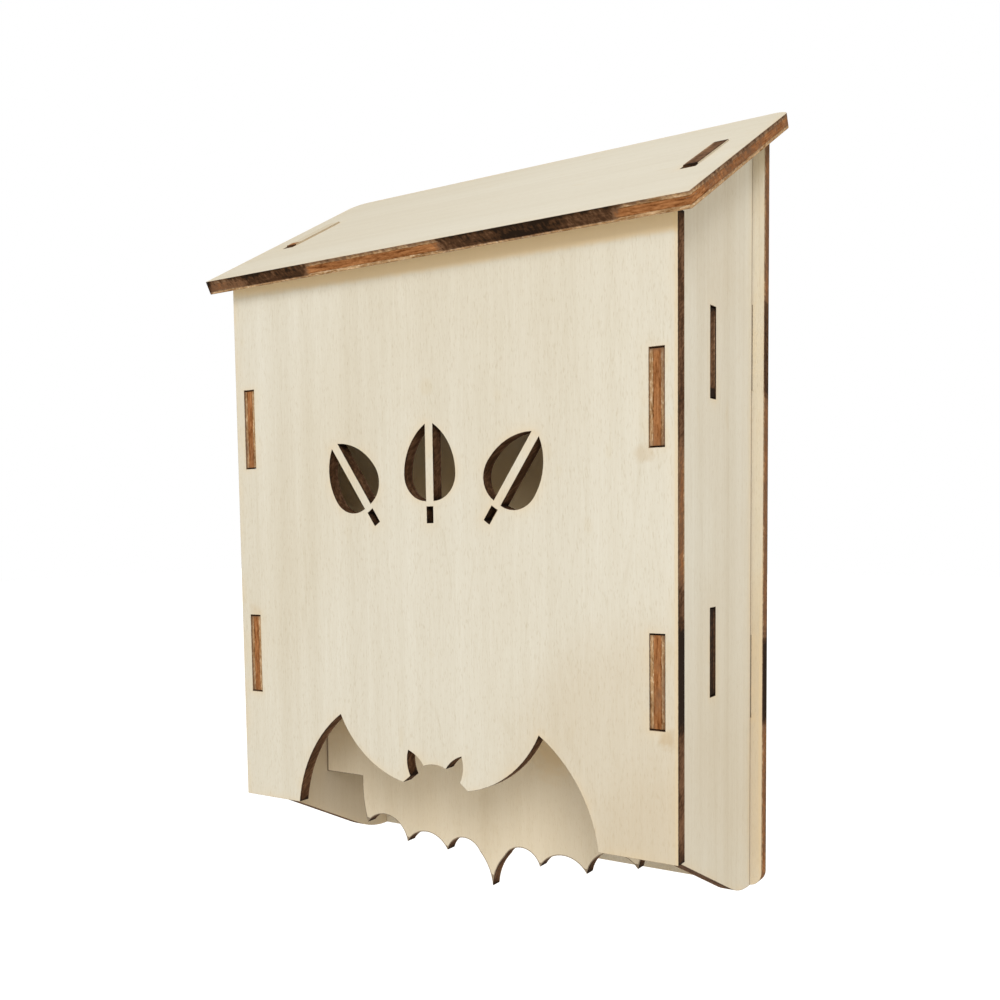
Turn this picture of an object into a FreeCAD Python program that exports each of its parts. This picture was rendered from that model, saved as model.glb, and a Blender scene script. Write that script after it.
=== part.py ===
import FreeCAD, Part
import math
import os
import Sketcher

# A small hanging bat box, laser-cut from one thickness of plywood and held together by
# tabs pushed through slots. Millimetres. X runs to the viewer's right, Y runs from the
# front panel towards the wall, and Z is up. The origin lies on the back face of the back
# panel, midway between the two hanging holes.
#
# Two layers make the bat figure: its head, ears and the tops of its wings are an arch cut
# in the front panel, and the lower edge of its wings hangs from the baffle behind.

document = FreeCAD.newDocument("bat_box")

# Driving sizes. Heights count from the lower edge of the front panel, depths from its
# front face, and x from the middle of the box.
SIZES = [
    ("ply", 3.0, "thickness of the plywood"),
    ("slot_slack", 0.05, "gap on each side of a tab in its slot"),
    ("slot_end_gap", 0.3, "gap above and below an upright tab in its slot"),
    ("tab_recess", 0.2, "upright tabs end this far below the face that they come through"),
    ("roof_tab_proud", 0.25, "the tabs through the roof stand this far out of its upper face"),
    ("panel_width", 110.4, "width of the front and back panels"),
    ("front_height", 119.1, "height of the front panel"),
    ("box_depth", 49.1, "front face of the front panel to back face of the back panel"),
    ("rear_drop", 17.3, "how far the back panel hangs below the front panel"),
    ("edge_margin", 2.65, "panel edge to the outer face of a side panel"),
    ("edge_gap", 0.1, "gap between an upright panel's top edge and the roof"),
    ("side_foot", 6.4, "level stretch at the rear of a side panel's lower edge"),
    ("side_foot_radius", 25.0, "rounding where that edge turns level"),
    ("back_corner_radius", 3.0, "lower corners of the back panel"),
    ("tab_length", 17.5, "height of the tabs on the upright edges"),
    ("front_tab_low", 34.0, "middle of the lower tabs in the front panel"),
    ("front_tab_high", 86.2, "middle of the upper tabs in the front panel"),
    ("back_tab_low", 29.5, "middle of the lower tabs in the back panel"),
    ("back_tab_high", 100.4, "middle of the upper tabs in the back panel"),
    ("baffle_tab_low", 37.2, "middle of the baffle's lower tabs"),
    ("baffle_tab_high", 96.8, "middle of the baffle's upper tabs"),
    ("baffle_setback", 22.2, "front face of the box to the baffle's front face"),
    ("baffle_foot", 1.6, "height of the baffle's lower edge"),
    ("roof_pitch", 28.3, "slope of the roof in degrees"),
    ("roof_front", 3.2, "overhang of the roof in front of the front panel"),
    ("roof_rear", 3.2, "overhang of the roof behind the back panel"),
    ("roof_side", 4.0, "overhang of the roof beyond the panels on each side"),
    ("roof_corner_radius", 4.0, "rear corners of the roof"),
    ("roof_slot_length", 20.1, "length of the two slots in the roof"),
    ("hole_height", 128.0, "height of the hanging holes"),
    ("hole_spacing", 60.0, "distance between the hanging holes"),
    ("hole_diameter", 5.0, "diameter of the hanging holes"),
    ("arch_side", 38.6, "half the width of the arch at the lower edge"),
    ("wrist_x", 25.6, "highest point of the wing, from the middle"),
    ("wrist_z", 21.6, "its height"),
    ("wing_radius", 31.0, "outer edge of the wing, from the lower edge to the wrist"),
    ("arm_radius", 24.0, "hollow upper edge of the wing, from the wrist to the shoulder"),
    ("shoulder_x", 8.4, "inner end of the wing"),
    ("shoulder_z", 8.2, "its height"),
    ("ear_foot_x", 6.4, "outer foot of the ear"),
    ("ear_foot_z", 9.8, "its height"),
    ("ear_tip_x", 6.9, "tip of the ear"),
    ("ear_tip_z", 15.4, "its height"),
    ("ear_inner_x", 2.9, "inner foot of the ear"),
    ("ear_inner_z", 12.3, "its height"),
    ("ear_radius", 7.5, "rounding of both edges of the ear"),
    ("head_top", 12.9, "height of the crown"),
    ("wing_root", 38.0, "half the width of the hanging wings at the baffle's lower edge"),
    ("wing_tip_x", 36.6, "wing tip, from the middle"),
    ("wing_tip_z", -9.8, "its height"),
    ("outer_finger_x", 24.4, "outer point of the wing's edge"),
    ("outer_finger_z", -12.9, "its height"),
    ("inner_finger_x", 12.6, "inner point of the wing's edge"),
    ("inner_finger_z", -13.2, "its height"),
    ("heel_x", 3.4, "where the wing meets the tail"),
    ("heel_z", -12.2, "its height"),
    ("tail_tip", -19.7, "height of the tip of the tail"),
    ("tip_radius", 30.0, "outer edge of the hanging wing"),
    ("scallop_radius", 6.9, "the hollows between the wing's points"),
    ("heel_radius", 5.0, "the hollow beside the tail"),
    ("tail_radius", 12.0, "each side of the tail"),
    ("leaf_foot", 64.0, "height of the feet of the three leaf openings"),
    ("leaf_spread", 14.0, "foot of an outer leaf, from the middle"),
    ("leaf_tilt", 34.0, "lean of an outer leaf in degrees"),
    ("stem_length", 3.4, "length of a leaf's stem"),
    ("stem_width", 1.6, "width of the stem"),
    ("stem_bridge", 1.2, "wood left standing between the stem and the blade"),
    ("rib_width", 2.0, "wood left standing along the middle of the blade"),
    ("blade_length", 15.9, "length of the blade"),
    ("blade_belly", 5.6, "widest place of the blade, from its foot"),
    ("blade_bulge", 5.5, "width of each half of the blade"),
]

# Places worked out from the sizes, in the same frame. Each is a formula of the sheet.
PLACES = [
    ("half_width", "=Sizes.panel_width / 2"),
    ("side_outer", "=Sizes.panel_width / 2 - Sizes.edge_margin"),
    ("side_inner", "=side_outer - Sizes.ply"),
    ("slot_outer", "=side_outer + Sizes.slot_slack"),
    ("slot_inner", "=side_inner - Sizes.slot_slack"),
    ("tab_half", "=Sizes.tab_length / 2"),
    ("slot_half", "=tab_half + Sizes.slot_end_gap"),
    ("front_back", "=Sizes.ply"),
    ("back_front", "=Sizes.box_depth - Sizes.ply"),
    ("left_side_start", "=-side_outer"),
    ("baffle_back", "=Sizes.baffle_setback + Sizes.ply"),
    ("baffle_slot_front", "=Sizes.baffle_setback - Sizes.slot_slack"),
    ("baffle_slot_back", "=baffle_back + Sizes.slot_slack"),
    ("back_foot", "=-Sizes.rear_drop"),
    ("rise", "=tan(Sizes.roof_pitch)"),
    ("run_side", "=cos(Sizes.roof_pitch)"),
    ("front_top", "=Sizes.front_height"),
    ("roof_at_front", "=Sizes.front_height + Sizes.edge_gap"),
    ("baffle_top", "=Sizes.front_height + Sizes.baffle_setback * rise"),
    ("back_top", "=Sizes.front_height + back_front * rise"),
    ("side_top_front", "=roof_at_front + Sizes.ply * rise"),
    ("side_top_back", "=roof_at_front + back_front * rise"),
    ("foot_start", "=back_front - Sizes.side_foot"),
    ("front_tab_end", "=Sizes.tab_recess"),
    ("back_tab_end", "=Sizes.box_depth - Sizes.tab_recess"),
    ("side_tab_end", "=side_outer - Sizes.tab_recess"),
    ("roof_edge_depth", "=-Sizes.roof_front"),
    ("roof_edge_height", "=roof_at_front - Sizes.roof_front * rise"),
    ("roof_length", "=(Sizes.box_depth + Sizes.roof_front + Sizes.roof_rear) / run_side"),
    ("roof_half", "=half_width + Sizes.roof_side"),
    ("roof_slot_near", "=(roof_length - Sizes.roof_slot_length) / 2"),
    ("roof_slot_far", "=roof_slot_near + Sizes.roof_slot_length"),
    ("roof_tab_near", "=(roof_slot_near + Sizes.slot_slack) * run_side - Sizes.roof_front"),
    ("roof_tab_far", "=(roof_slot_far - Sizes.slot_slack - Sizes.ply * rise) * run_side - Sizes.roof_front"),
    ("roof_tab_rise", "=(Sizes.ply + Sizes.roof_tab_proud) / run_side"),
    ("tab_near_foot", "=roof_at_front + roof_tab_near * rise"),
    ("tab_near_head", "=tab_near_foot + roof_tab_rise"),
    ("tab_far_foot", "=roof_at_front + roof_tab_far * rise"),
    ("tab_far_head", "=tab_far_foot + roof_tab_rise"),
    ("hole_x", "=Sizes.hole_spacing / 2"),
    ("head_radius", "=(Sizes.ear_inner_x ^ 2 + (Sizes.head_top - Sizes.ear_inner_z) ^ 2)"
                    " / (2 * (Sizes.head_top - Sizes.ear_inner_z))"),
    ("stem_side", "=Sizes.stem_width / 2"),
    ("rib_side", "=Sizes.rib_width / 2"),
    ("blade_foot", "=Sizes.stem_length + Sizes.stem_bridge"),
    ("blade_wide_x", "=rib_side + Sizes.blade_bulge"),
    ("blade_wide_z", "=blade_foot + Sizes.blade_belly"),
    ("blade_tip", "=blade_foot + Sizes.blade_length"),
    ("blade_foot_radius", "=(Sizes.blade_bulge ^ 2 + Sizes.blade_belly ^ 2) / (2 * Sizes.blade_bulge)"),
    ("blade_edge_radius", "=(Sizes.blade_bulge ^ 2 + (Sizes.blade_length - Sizes.blade_belly) ^ 2)"
                          " / (2 * Sizes.blade_bulge)"),
    ("zero", "=0"),
]
for edge in ("front", "back", "baffle"):
    for level in ("low", "high"):
        middle = "Sizes.%s_tab_%s" % (edge, level)
        PLACES.append(("%s_%s_tab_foot" % (edge, level), "=%s - tab_half" % middle))
        PLACES.append(("%s_%s_tab_head" % (edge, level), "=%s + tab_half" % middle))
        PLACES.append(("%s_%s_slot_foot" % (edge, level), "=%s - slot_half" % middle))
        PLACES.append(("%s_%s_slot_head" % (edge, level), "=%s + slot_half" % middle))


def fill_sheets():
    """Writes the driving sizes as plain numbers, and the places as formulas of them."""
    sizes = document.addObject("Spreadsheet::Sheet", "Sizes")
    for row, (alias, value, note) in enumerate(SIZES, 1):
        sizes.set("A%d" % row, note)
        sizes.set("B%d" % row, str(value))
        sizes.setAlias("B%d" % row, alias)
    places = document.addObject("Spreadsheet::Sheet", "Places")
    for row, (alias, formula) in enumerate(PLACES, 1):
        places.setAlias("B%d" % row, alias)
        places.set("A%d" % row, alias)
        places.set("B%d" % row, formula)
    document.recompute()
    return sizes, places


sizes_sheet, places_sheet = fill_sheets()
DRIVING = {alias for alias, value, note in SIZES}


def cell(name):
    """The expression for a cell of either sheet. A leading minus is kept."""
    sign = "-" if name.startswith("-") else ""
    word = name.lstrip("-")
    return "%s%s.%s" % (sign, "Sizes" if word in DRIVING else "Places", word)


def value(name):
    """The number in a cell of either sheet. A leading minus is kept."""
    sign = -1.0 if name.startswith("-") else 1.0
    word = name.lstrip("-")
    sheet = sizes_sheet if word in DRIVING else places_sheet
    return sign * float(sheet.get(word))


def new_body(name, x, y):
    """An empty body, placed in the part's frame from its x and its depth in the box."""
    body = document.addObject("PartDesign::Body", name)
    body.Label = name
    body.setExpression("Placement.Base.x", cell(x))
    body.setExpression("Placement.Base.y", "%s - Sizes.box_depth" % cell(y))
    body.setExpression("Placement.Base.z", "-Sizes.hole_height")
    return body


def plane(body, role):
    """One of a body's own origin planes."""
    return [feature for feature in body.Origin.OriginFeatures if feature.Role == role][0]


def new_sketch(body, name, role):
    """An empty sketch on one of the body's own origin planes."""
    sketch = body.newObject("Sketcher::SketchObject", name)
    sketch.AttachmentSupport = [(plane(body, role), "")]
    sketch.MapMode = "FlatFace"
    return sketch


def arc_edge(start, end, radius, side):
    """The shorter arc from start to end. Its centre is on the left when side is 1."""
    chord = end - start
    left = FreeCAD.Vector(-chord.y, chord.x, 0).normalize()
    offset = math.sqrt(radius ** 2 - chord.Length ** 2 / 4)
    centre = (start + end) * 0.5 + left * (offset * side)
    first, last = (start, end) if side > 0 else (end, start)
    circle = Part.Circle(centre, FreeCAD.Vector(0, 0, 1), radius)
    return Part.ArcOfCircle(circle, circle.parameter(first), circle.parameter(last))


def draw(sketch, corners):
    """Adds a closed outline. Each corner is (x, y), or (x, y, radius, side) where an arc
    leaves it for the next corner. Corners and radii are bound to the sheets."""
    points = [FreeCAD.Vector(value(corner[0]), value(corner[1]), 0) for corner in corners]
    edges = []
    for index, corner in enumerate(corners):
        start = points[index]
        end = points[(index + 1) % len(points)]
        if len(corner) == 2:
            edge = sketch.addGeometry(Part.LineSegment(start, end), False)
            edges.append((edge, 1, 2))
        else:
            arc = arc_edge(start, end, value(corner[2]), corner[3])
            edge = sketch.addGeometry(arc, False)
            edges.append((edge, 1, 2) if corner[3] > 0 else (edge, 2, 1))
    for index, (edge, head, tail) in enumerate(edges):
        following, following_head, _ = edges[(index + 1) % len(edges)]
        sketch.addConstraint(Sketcher.Constraint("Coincident", edge, tail, following, following_head))
    for corner, point, (edge, head, tail) in zip(corners, points, edges):
        for kind, name, number in (("DistanceX", corner[0], point.x), ("DistanceY", corner[1], point.y)):
            bound = sketch.addConstraint(Sketcher.Constraint(kind, -1, 1, edge, head, number))
            sketch.setExpression("Constraints[%d]" % bound, cell(name))
        if len(corner) == 4:
            bound = sketch.addConstraint(Sketcher.Constraint("Radius", edge, value(corner[2])))
            sketch.setExpression("Constraints[%d]" % bound, cell(corner[2]))


def rectangle(sketch, left, right, low, high):
    """Adds an upright rectangle between two places in x and two in y."""
    draw(sketch, [(left, low), (right, low), (right, high), (left, high)])


def circle(sketch, x, y, diameter):
    """Adds a circle with its centre and diameter bound to the sheets."""
    centre = FreeCAD.Vector(value(x), value(y), 0)
    ring = sketch.addGeometry(Part.Circle(centre, FreeCAD.Vector(0, 0, 1), value(diameter) / 2), False)
    for kind, name, number in (("DistanceX", x, centre.x), ("DistanceY", y, centre.y)):
        bound = sketch.addConstraint(Sketcher.Constraint(kind, -1, 1, ring, 3, number))
        sketch.setExpression("Constraints[%d]" % bound, cell(name))
    bound = sketch.addConstraint(Sketcher.Constraint("Diameter", ring, value(diameter)))
    sketch.setExpression("Constraints[%d]" % bound, cell(diameter))


def pad(body, sketch, name):
    """Raises a sketch by one thickness of plywood."""
    feature = body.newObject("PartDesign::Pad", name)
    feature.Profile = sketch
    feature.setExpression("Length", "Sizes.ply")
    document.recompute()
    return feature


def pocket(body, sketch, name):
    """Cuts a sketch through the board on the side where the wood lies."""
    before = body.Shape.Volume
    feature = body.newObject("PartDesign::Pocket", name)
    feature.Profile = sketch
    feature.Type = "Length"
    feature.Reversed = True
    feature.setExpression("Length", "Sizes.ply")
    document.recompute()
    if not body.Shape.Volume < before - 1.0:
        raise RuntimeError("%s cuts nothing from %s" % (name, body.Label))
    return feature


def mirror(body, originals, name):
    """Repeats features on the other side of the box's middle."""
    before = body.Shape.Volume
    feature = body.newObject("PartDesign::Mirrored", name)
    feature.Originals = originals
    feature.MirrorPlane = (plane(body, "YZ_Plane"), [""])
    body.Tip = feature
    document.recompute()
    if abs(body.Shape.Volume - before) < 1.0:
        raise RuntimeError("%s changes nothing on %s" % (name, body.Label))
    return feature


def edges_near(shape, points):
    """Names the straight edges whose middle lies at one of the points."""
    names = []
    for number, edge in enumerate(shape.Edges, 1):
        middle = (edge.Vertexes[0].Point + edge.Vertexes[-1].Point) * 0.5
        if any(middle.distanceToPoint(point) < 0.01 for point in points):
            names.append("Edge%d" % number)
    return names


def fillet(body, base, points, radius, name):
    """Rounds the edges of the base feature that pass through the points."""
    names = edges_near(base.Shape, points)
    if len(names) != len(points):
        raise RuntimeError("%s finds %d of %d edges" % (name, len(names), len(points)))
    feature = body.newObject("PartDesign::Fillet", name)
    feature.Base = (base, names)
    feature.setExpression("Radius", cell(radius))
    document.recompute()
    return feature


def cut_leaf(body, name, x, tilt):
    """Cuts one leaf through the board: a stem, and a blade in two halves with a rib left
    standing between them. The stem's foot is at x, and the leaf leans by tilt."""
    sketch = new_sketch(body, name + "_outline", "XZ_Plane")
    rectangle(sketch, "-stem_side", "stem_side", "zero", "stem_length")
    for rib, wide, side in (("rib_side", "blade_wide_x", 1), ("-rib_side", "-blade_wide_x", -1)):
        draw(sketch, [
            (rib, "blade_foot", "blade_foot_radius", side),
            (wide, "blade_wide_z", "blade_edge_radius", side),
            (rib, "blade_tip"),
        ])
    sketch.setExpression(".AttachmentOffset.Base.x", cell(x))
    sketch.setExpression(".AttachmentOffset.Base.y", "Sizes.leaf_foot")
    sketch.setExpression(".AttachmentOffset.Rotation.Angle", cell(tilt))
    return pocket(body, sketch, name)


def build_front_panel():
    """The front panel, with slots for the side panels, the arch and three leaves."""
    body = new_body("front_panel", "zero", "front_back")
    board = new_sketch(body, "front_outline", "XZ_Plane")
    rectangle(board, "-half_width", "half_width", "zero", "front_top")
    pad(body, board, "front_board")

    slots = new_sketch(body, "front_slot_outlines", "XZ_Plane")
    for level in ("low", "high"):
        rectangle(slots, "slot_inner", "slot_outer",
                  "front_%s_slot_foot" % level, "front_%s_slot_head" % level)
    slot_cut = pocket(body, slots, "front_slots")

    arch = new_sketch(body, "arch_outline", "XZ_Plane")
    draw(arch, [
        ("zero", "zero"),
        ("arch_side", "zero", "wing_radius", 1),
        ("wrist_x", "wrist_z", "arm_radius", -1),
        ("shoulder_x", "shoulder_z"),
        ("ear_foot_x", "ear_foot_z", "ear_radius", 1),
        ("ear_tip_x", "ear_tip_z", "ear_radius", 1),
        ("ear_inner_x", "ear_inner_z", "head_radius", 1),
        ("zero", "head_top"),
    ])
    arch_cut = pocket(body, arch, "arch")
    outer_leaf = cut_leaf(body, "outer_leaf", "leaf_spread", "-leaf_tilt")
    mirror(body, [slot_cut, arch_cut, outer_leaf], "front_other_side")
    cut_leaf(body, "middle_leaf", "zero", "zero")
    return body


def build_baffle_panel():
    """The baffle, which parts the two roosting chambers, with its tabs and the lower
    edge of the bat's wings."""
    body = new_body("baffle_panel", "zero", "baffle_back")
    board = new_sketch(body, "baffle_outline", "XZ_Plane")
    rectangle(board, "-side_inner", "side_inner", "baffle_foot", "baffle_top")
    pad(body, board, "baffle_board")

    tabs = new_sketch(body, "baffle_tab_outlines", "XZ_Plane")
    for level in ("low", "high"):
        rectangle(tabs, "side_inner", "side_tab_end",
                  "baffle_%s_tab_foot" % level, "baffle_%s_tab_head" % level)
    tab_pad = pad(body, tabs, "baffle_tabs")

    wing = new_sketch(body, "wing_outline", "XZ_Plane")
    draw(wing, [
        ("zero", "baffle_foot"),
        ("zero", "tail_tip", "tail_radius", -1),
        ("heel_x", "heel_z", "heel_radius", -1),
        ("inner_finger_x", "inner_finger_z", "scallop_radius", -1),
        ("outer_finger_x", "outer_finger_z", "scallop_radius", -1),
        ("wing_tip_x", "wing_tip_z", "tip_radius", 1),
        ("wing_root", "baffle_foot"),
    ])
    wing_pad = pad(body, wing, "hanging_wing")
    mirror(body, [tab_pad, wing_pad], "baffle_other_side")
    return body


def build_back_panel():
    """The back panel, with slots for the side panels and two hanging holes."""
    body = new_body("back_panel", "zero", "box_depth")
    board = new_sketch(body, "back_outline", "XZ_Plane")
    rectangle(board, "-half_width", "half_width", "back_foot", "back_top")
    base = pad(body, board, "back_board")
    corners = [FreeCAD.Vector(value(x), -value("ply") / 2, value("back_foot"))
               for x in ("-half_width", "half_width")]
    fillet(body, base, corners, "back_corner_radius", "back_corners")

    cuts = new_sketch(body, "back_slot_outlines", "XZ_Plane")
    for level in ("low", "high"):
        rectangle(cuts, "slot_inner", "slot_outer",
                  "back_%s_slot_foot" % level, "back_%s_slot_head" % level)
    circle(cuts, "hole_x", "hole_height", "hole_diameter")
    mirror(body, [pocket(body, cuts, "back_slots_and_hole")], "back_other_side")
    return body


def build_side_panel(name, x):
    """One side panel, from x towards +X. It carries the tabs that pass through the front
    panel, the back panel and the roof, and it has the slots for the baffle."""
    body = new_body(name, x, "zero")
    wall = new_sketch(body, name + "_outline", "YZ_Plane")
    draw(wall, [
        ("front_back", "zero"),
        ("foot_start", "back_foot"),
        ("back_front", "back_foot"),
        ("back_front", "side_top_back"),
        ("roof_tab_far", "tab_far_foot"),
        ("roof_tab_far", "tab_far_head"),
        ("roof_tab_near", "tab_near_head"),
        ("roof_tab_near", "tab_near_foot"),
        ("front_back", "side_top_front"),
    ])
    base = pad(body, wall, name + "_board")
    bend = FreeCAD.Vector(value("ply") / 2, value("foot_start"), value("back_foot"))
    fillet(body, base, [bend], "side_foot_radius", name + "_foot")

    tabs = new_sketch(body, name + "_tab_outlines", "YZ_Plane")
    for level in ("low", "high"):
        rectangle(tabs, "front_tab_end", "front_back",
                  "front_%s_tab_foot" % level, "front_%s_tab_head" % level)
        rectangle(tabs, "back_front", "back_tab_end",
                  "back_%s_tab_foot" % level, "back_%s_tab_head" % level)
    pad(body, tabs, name + "_tabs")

    slots = new_sketch(body, name + "_slot_outlines", "YZ_Plane")
    for level in ("low", "high"):
        rectangle(slots, "baffle_slot_front", "baffle_slot_back",
                  "baffle_%s_slot_foot" % level, "baffle_%s_slot_head" % level)
    pocket(body, slots, name + "_slots")
    return body


def build_roof_panel():
    """The sloping roof. Its slots are cut square to the board, and the side panels' tabs
    stand upright in them, which leaves a wedge of daylight at the front of each slot."""
    body = new_body("roof_panel", "zero", "roof_edge_depth")
    body.setExpression("Placement.Base.z", "Places.roof_edge_height - Sizes.hole_height")
    body.Placement.Rotation = FreeCAD.Rotation(FreeCAD.Vector(1, 0, 0), value("roof_pitch"))
    body.setExpression("Placement.Rotation.Angle", "Sizes.roof_pitch")
    board = new_sketch(body, "roof_outline", "XY_Plane")
    rectangle(board, "-roof_half", "roof_half", "zero", "roof_length")
    base = pad(body, board, "roof_board")
    corners = [FreeCAD.Vector(value(x), value("roof_length"), value("ply") / 2)
               for x in ("-roof_half", "roof_half")]
    fillet(body, base, corners, "roof_corner_radius", "roof_corners")

    slot = new_sketch(body, "roof_slot_outline", "XY_Plane")
    rectangle(slot, "slot_inner", "slot_outer", "roof_slot_near", "roof_slot_far")
    mirror(body, [pocket(body, slot, "roof_slot")], "roof_other_side")
    return body


def check(bodies):
    """Stops unless every object computed and every piece is one valid solid."""
    document.recompute()
    for item in document.Objects:
        if "Invalid" in item.State or "Error" in item.State:
            raise RuntimeError("%s is %s" % (item.Label, item.State))
    for body in bodies:
        if body.Shape.isNull() or not body.Shape.isValid() or len(body.Shape.Solids) != 1:
            raise RuntimeError("%s is not one valid solid" % body.Label)


def export(bodies):
    """Writes each piece to its own file and prints its extent and volume."""
    os.makedirs("parts", exist_ok=True)
    for body in bodies:
        body.Shape.exportStep("parts/%s.step" % body.Label)
        box = body.Shape.BoundBox
        print("%-17s x %7.2f %7.2f  y %7.2f %7.2f  z %7.2f %7.2f  %8.1f mm3" % (
            body.Label, box.XMin, box.XMax, box.YMin, box.YMax, box.ZMin, box.ZMax,
            body.Shape.Volume))


pieces = [
    build_front_panel(),
    build_baffle_panel(),
    build_back_panel(),
    build_side_panel("left_side_panel", "left_side_start"),
    build_side_panel("right_side_panel", "side_inner"),
    build_roof_panel(),
]
check(pieces)
export(pieces)
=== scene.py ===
# %% [markdown]
# # A laser-cut plywood bat box
# Six boards of 3 mm plywood lock together by tabs and slots: a front, a back, two sides, a
# roof and a baffle. The packed CAD model holds their exact shapes, and this lesson gives
# them the look of freshly cut plywood: pale faces with a fine grain, and edges scorched
# brown by the laser.

import math

import bpy
import numpy as np
from mathutils import Matrix, Vector
from mathutils.geometry import delaunay_2d_cdt


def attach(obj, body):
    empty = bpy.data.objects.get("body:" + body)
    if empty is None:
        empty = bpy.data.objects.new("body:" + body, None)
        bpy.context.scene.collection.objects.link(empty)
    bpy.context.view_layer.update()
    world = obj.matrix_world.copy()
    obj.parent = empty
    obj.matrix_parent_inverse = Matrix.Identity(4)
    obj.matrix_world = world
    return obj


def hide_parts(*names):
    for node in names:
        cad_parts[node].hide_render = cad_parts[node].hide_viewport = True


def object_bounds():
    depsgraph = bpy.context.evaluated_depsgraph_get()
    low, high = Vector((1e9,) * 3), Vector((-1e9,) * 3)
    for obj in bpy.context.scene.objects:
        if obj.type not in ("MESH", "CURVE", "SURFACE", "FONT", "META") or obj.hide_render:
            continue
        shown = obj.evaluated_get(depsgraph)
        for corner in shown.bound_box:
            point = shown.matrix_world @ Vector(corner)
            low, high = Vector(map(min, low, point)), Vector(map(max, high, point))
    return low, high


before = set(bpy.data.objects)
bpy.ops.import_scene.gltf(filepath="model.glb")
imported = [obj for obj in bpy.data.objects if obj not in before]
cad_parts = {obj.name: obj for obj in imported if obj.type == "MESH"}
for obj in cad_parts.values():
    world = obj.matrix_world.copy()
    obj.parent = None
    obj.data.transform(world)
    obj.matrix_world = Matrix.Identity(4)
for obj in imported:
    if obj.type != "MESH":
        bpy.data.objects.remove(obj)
cad_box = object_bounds()
print("boards:", sorted(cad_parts))

# %% [markdown]
# The camera stands to the right of the box, level with its middle, and close enough for a
# strong perspective. Its optical axis doesn't pass through the middle of the picture,
# because the picture is a crop, so the lens is shifted. The heading, tilt and roll turn
# into three axes: right, up and backwards.

# %% Camera
CAMERA_PLACE = Vector((0.1343, -0.2354, -0.0639))
HEADING = math.radians(33.47)
TILT = math.radians(4.29)
ROLL = math.radians(-0.84)
SENSOR = 36.0
FOCAL_LENGTH = 39.56
SHIFT_ACROSS = 0.0241
SHIFT_UP = 0.1043
NEAR_CLIP = 0.01


def camera_matrix(place, heading, tilt, roll):
    """The camera's axes as columns. Backwards is (sin h cos t, -cos h cos t, sin t) for
    heading h and tilt t. Right is level, and roll turns right and up about the axis."""
    back = Vector((math.sin(heading) * math.cos(tilt),
                   -math.cos(heading) * math.cos(tilt), math.sin(tilt)))
    level = Vector((0, 0, 1)).cross(back).normalized()
    upright = back.cross(level)
    right = level * math.cos(roll) + upright * math.sin(roll)
    up = upright * math.cos(roll) - level * math.sin(roll)
    turn = Matrix((right, up, back)).transposed()
    return Matrix.Translation(place) @ turn.to_4x4()


camera = bpy.data.objects.new("camera", bpy.data.cameras.new("camera"))
camera.data.sensor_width = SENSOR
camera.data.lens = FOCAL_LENGTH
camera.data.shift_x = SHIFT_ACROSS
camera.data.shift_y = SHIFT_UP
camera.data.clip_start = NEAR_CLIP
camera.matrix_world = camera_matrix(CAMERA_PLACE, HEADING, TILT, ROLL)
bpy.context.scene.collection.objects.link(camera)
bpy.context.scene.camera = camera
print("camera at", camera.matrix_world.translation, "with a lens of", FOCAL_LENGTH, "mm")

# %% [markdown]
# A laser scorches what lies close to its cut, so the finish of a board depends on the
# distance to the nearest cut. The CAD mesh has only a few long triangles, with nowhere to
# keep such a distance. Each board is therefore drawn again on its own CAD outline: the
# outline's edges are read from the packed mesh, a grid of points fills the face, and a
# Delaunay triangulation joins them. The outline stays exactly the CAD outline.
#
# First the board's own axes are found: its normal, a line up its face and a line across.
# Long straight cuts are divided into short ones, so that the char can change along them.

# %% Read a board
MILLIMETRE = 0.001
CUT_STEP = 1.5 * MILLIMETRE
CAD_DIGITS = 6
CUT_DIGITS = 7
FACES_OUT = 0.5
SAME_PLANE = 0.999


def welded(mesh):
    """A mesh's points, each only once, and its triangles. The packed mesh is loose
    triangles, and their corners are one point where they agree to a micrometre."""
    mesh.calc_loop_triangles()
    points = np.empty(len(mesh.vertices) * 3)
    mesh.vertices.foreach_get("co", points)
    triangles = np.empty(len(mesh.loop_triangles) * 3, int)
    mesh.loop_triangles.foreach_get("vertices", triangles)
    points = points.reshape(-1, 3).round(CAD_DIGITS)
    points, same = np.unique(points, axis=0, return_inverse=True)
    return points, same.ravel()[triangles].reshape(-1, 3)


def lone_edges(triangles, count):
    """The starts and ends of the edges that only one of the triangles has. Among count
    points, the edge from a to b has the number a count + b. It is lone if no edge runs
    from b to a, so if its number isn't among the numbers b count + a of all edges."""
    starts = triangles.ravel()
    ends = np.roll(triangles, -1, axis=1).ravel()
    lone = ~np.isin(starts * count + ends, ends * count + starts)
    return starts[lone], ends[lone]


def divided(cuts):
    """Each segment from a to b becomes n equal ones: a + (b - a) k / n for k from 0 to n,
    where n is the length over the step, rounded up."""
    run = cuts[:, 1] - cuts[:, 0]
    parts = np.ceil(np.linalg.norm(run, axis=1) / CUT_STEP).astype(int)
    which = np.repeat(np.arange(len(cuts)), parts)
    k = np.arange(len(which)) - np.repeat(np.cumsum(parts) - parts, parts)
    low = cuts[which, 0] + run[which] * (k / parts[which])[:, None]
    high = cuts[which, 0] + run[which] * ((k + 1) / parts[which])[:, None]
    return np.stack((low, high), axis=1).round(CUT_DIGITS)


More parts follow.
